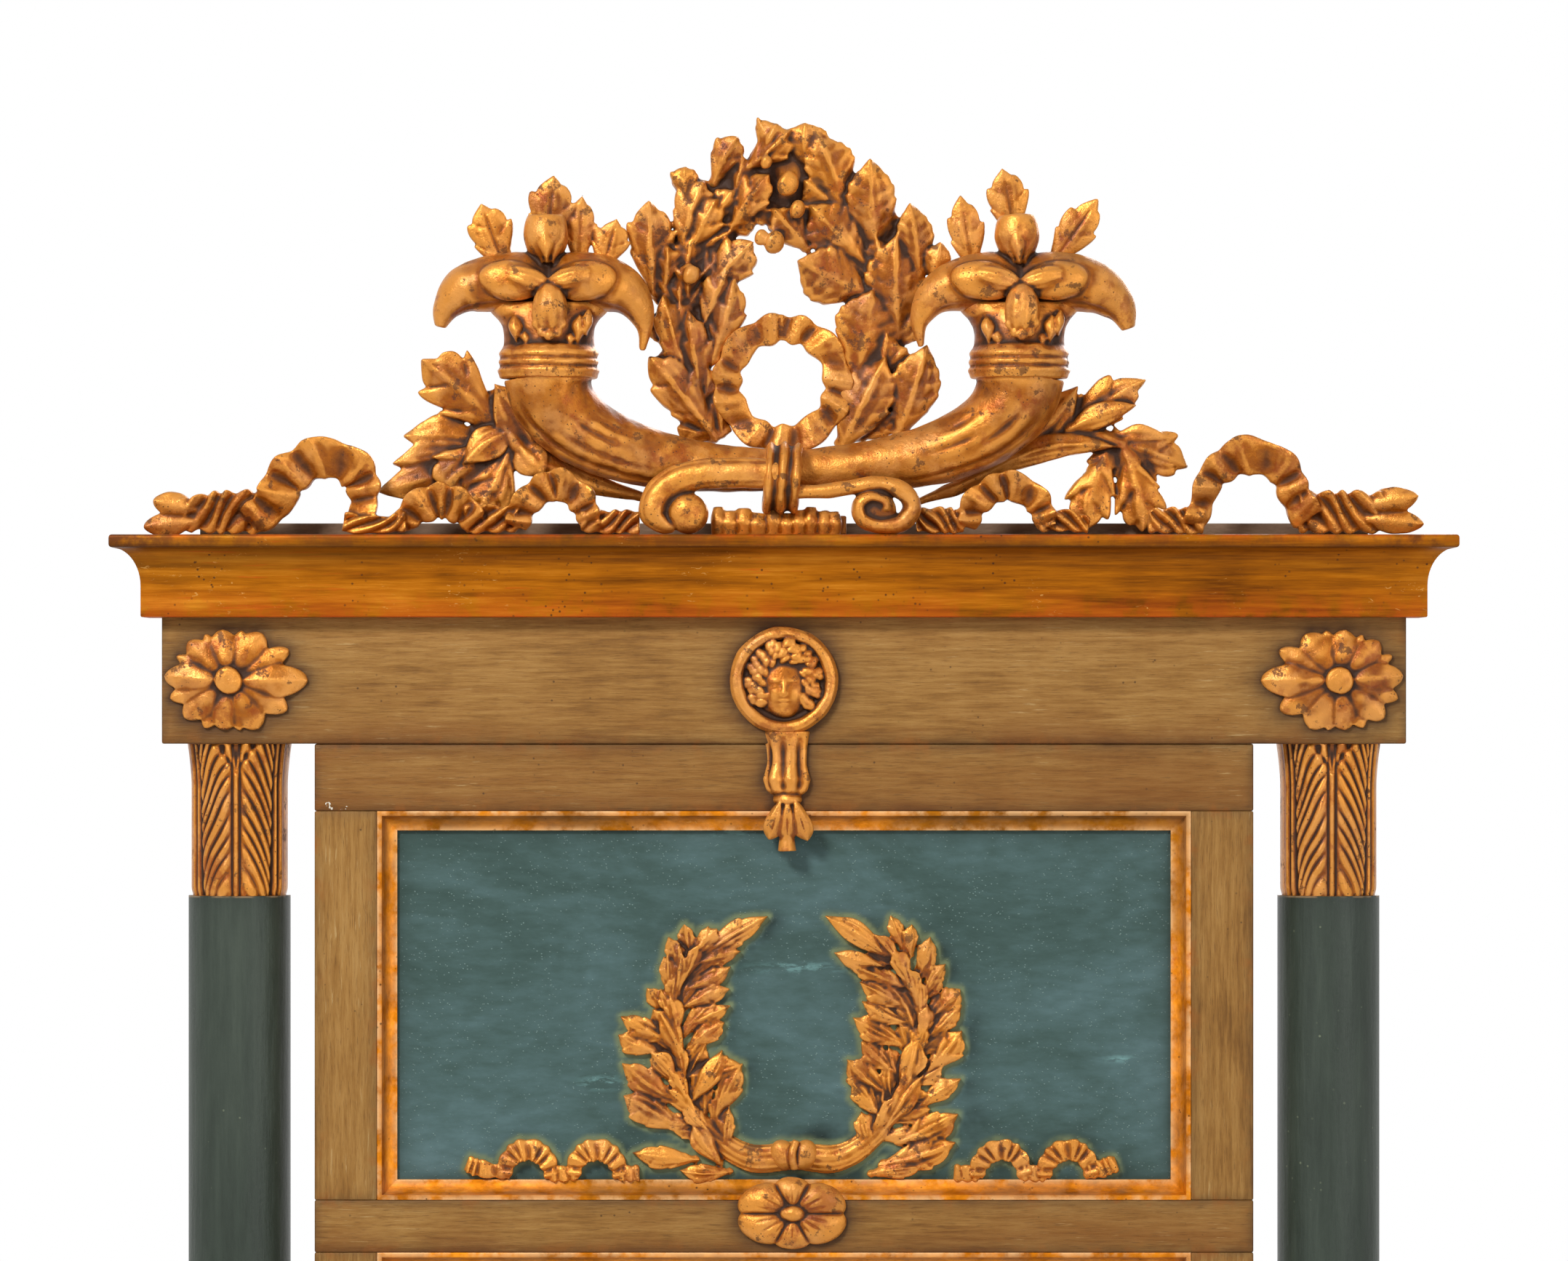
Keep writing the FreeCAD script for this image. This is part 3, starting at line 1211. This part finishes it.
lip_projection = d.cornice_fascia_projection + d.cornice_cove_radius + d.cornice_lip_step
ribbon_end = float(half_entablature + lip_projection - d.ribbon_inset)
for hand, side, rows, leaves, stalk, curls in (
        (-1, "left", LEFT_ACANTHUS, LEFT_HORN_LEAVES, LEFT_STALK, LEFT_CURLS),
        (1, "right", RIGHT_ACANTHUS, RIGHT_HORN_LEAVES, RIGHT_STALK, RIGHT_CURLS)):
    carved(f"{side}_horn", horns[hand], z=crest_base)
    carved(f"{side}_horn_mouth", mouths[hand], z=crest_base)
    carved(f"{side}_horn_fruit", fruits[hand], z=crest_base)
    carved(f"{side}_horn_leaves", horn_leaves(hand, leaves, fruits[hand]), z=crest_base)
    carved(f"{side}_scroll", scrolls[hand], z=crest_base)
    carved(f"{side}_acanthus", acanthus(rows, stalk).cut(horns[hand]), z=crest_base)
    strip = pleated_ribbon(hand, float(d.ribbon_start), ribbon_end, float(d.ribbon_low),
                           float(d.ribbon_tail), float(d.ribbon_depth), float(d.ribbon_pleat), curls)
    carved(f"{side}_crest_ribbon", strip, y=-d.ribbon_back, z=crest_base)
carved("crest_wreath", crown_wreath, z=crest_base)
carved("crest_tie", band, z=crest_base)
carved("crest_fluting", reeds, z=crest_base)

# Crimped ribbon ring: one pleat turned about its own axis, repeated round the ring.
ring = new_body("crest_ribbon_ring")
pleat_outline = ((0, d.ring_inner_radius), (d.ring_pleat_inner, d.ring_inner_radius),
                 (d.ring_pleat_outer, d.ring_outer_radius - 3), (0, d.ring_outer_radius))
pleat = turn(ring, outline(sketch_on(ring, "XZ_Plane"), pleat_outline))
round_ring = ring.newObject("PartDesign::PolarPattern", "pleats")
round_ring.Originals = [pleat]
round_ring.Axis = (next(item for item in ring.Origin.OriginFeatures if item.Role == "Y_Axis"), [""])
round_ring.Angle = 360
round_ring.Occurrences = 11
ring.Tip = round_ring
place(ring, 0, -d.ring_axis, crest_base + d.ring_height)

# Hangers on the backs of the upper stiles: strap with a folded eye, swinging ring, two screws.
hanger_z = top_rail_base - d.hanger_drop
hanger_y = frame_back + d.barrel_radius
wire = d.ring_wire / 2


def strap():
    """Strap below the ring axis, the axis at the origin, stile face at -Y."""
    radius = float(d.barrel_radius)
    width = float(d.strap_width)
    length = float(d.strap_length)
    thick = float(d.strap_thickness)
    plate = Part.makeBox(width, thick, length, Vector(-width / 2, -radius, -length))
    eye = Part.makeCylinder(radius, width, Vector(-width / 2, 0, 0), Vector(1, 0, 0))
    hole = Part.makeCylinder(float(wire + d.ring_play), width, Vector(-width / 2, 0, 0), Vector(1, 0, 0))
    shape = plate.fuse(eye).cut(hole)
    for level in (float(d.screw_first), float(d.screw_first + d.screw_pitch)):
        shape = shape.cut(Part.makeCylinder(float(d.screw_radius + d.joint_clearance), 3 * radius,
                                            Vector(0, -2 * radius, -level), Vector(0, 1, 0)))
    return shape


def hanger_ring():
    """Ring of round wire: straight bar on the axis, legs and half round below."""
    half = float(d.ring_bar) / 2
    corner = float(d.ring_corner)
    side = half + corner
    low = -corner - float(d.ring_leg)
    slant = corner * math.sqrt(0.5)
    edges = [
        Part.makeLine(Vector(-half, 0, 0), Vector(half, 0, 0)),
        Part.Arc(Vector(half, 0, 0), Vector(half + slant, 0, slant - corner),
                 Vector(side, 0, -corner)).toShape(),
        Part.makeLine(Vector(side, 0, -corner), Vector(side, 0, low)),
        Part.Arc(Vector(side, 0, low), Vector(0, 0, low - side), Vector(-side, 0, low)).toShape(),
        Part.makeLine(Vector(-side, 0, low), Vector(-side, 0, -corner)),
        Part.Arc(Vector(-side, 0, -corner), Vector(-half - slant, 0, slant - corner),
                 Vector(-half, 0, 0)).toShape()]
    profile = Part.Wire(Part.makeCircle(float(wire), Vector(-half, 0, 0), Vector(1, 0, 0)))
    return Part.Wire(edges).makePipeShell([profile], True, True)


straps = []
screws = []
for hand, side in ((-1, "left"), (1, "right")):
    straps.append(carved(f"{side}_strap", strap(), stile_x * hand, hanger_y, hanger_z))
    carved(f"{side}_hanger_ring", hanger_ring(), stile_x * hand, hanger_y, hanger_z)
    screw = headed_pin(float(d.screw_radius), float(d.screw_head_radius), float(d.screw_head_height),
                       float(d.strap_thickness + d.screw_length))
    for level in (d.screw_first, d.screw_first + d.screw_pitch):
        screws.append(carved(f"{side}_screw", screw, stile_x * hand, frame_back + d.strap_thickness,
                             hanger_z - level))
gather("hanger_straps", straps)
gather("hanger_screws", screws)

doc.recompute()
for item in doc.Objects:
    if "Invalid" in item.State or "Error" in item.State:
        raise RuntimeError(f"{item.Label}: {item.State}")
os.makedirs("parts", exist_ok=True)
for label, item in nodes.items():
    shape = item.Shape
    if shape.isNull() or not shape.isValid() or not shape.Solids:
        raise RuntimeError(f"{label}: no valid solid")
    shape.exportStep(f"parts/{label}.step")
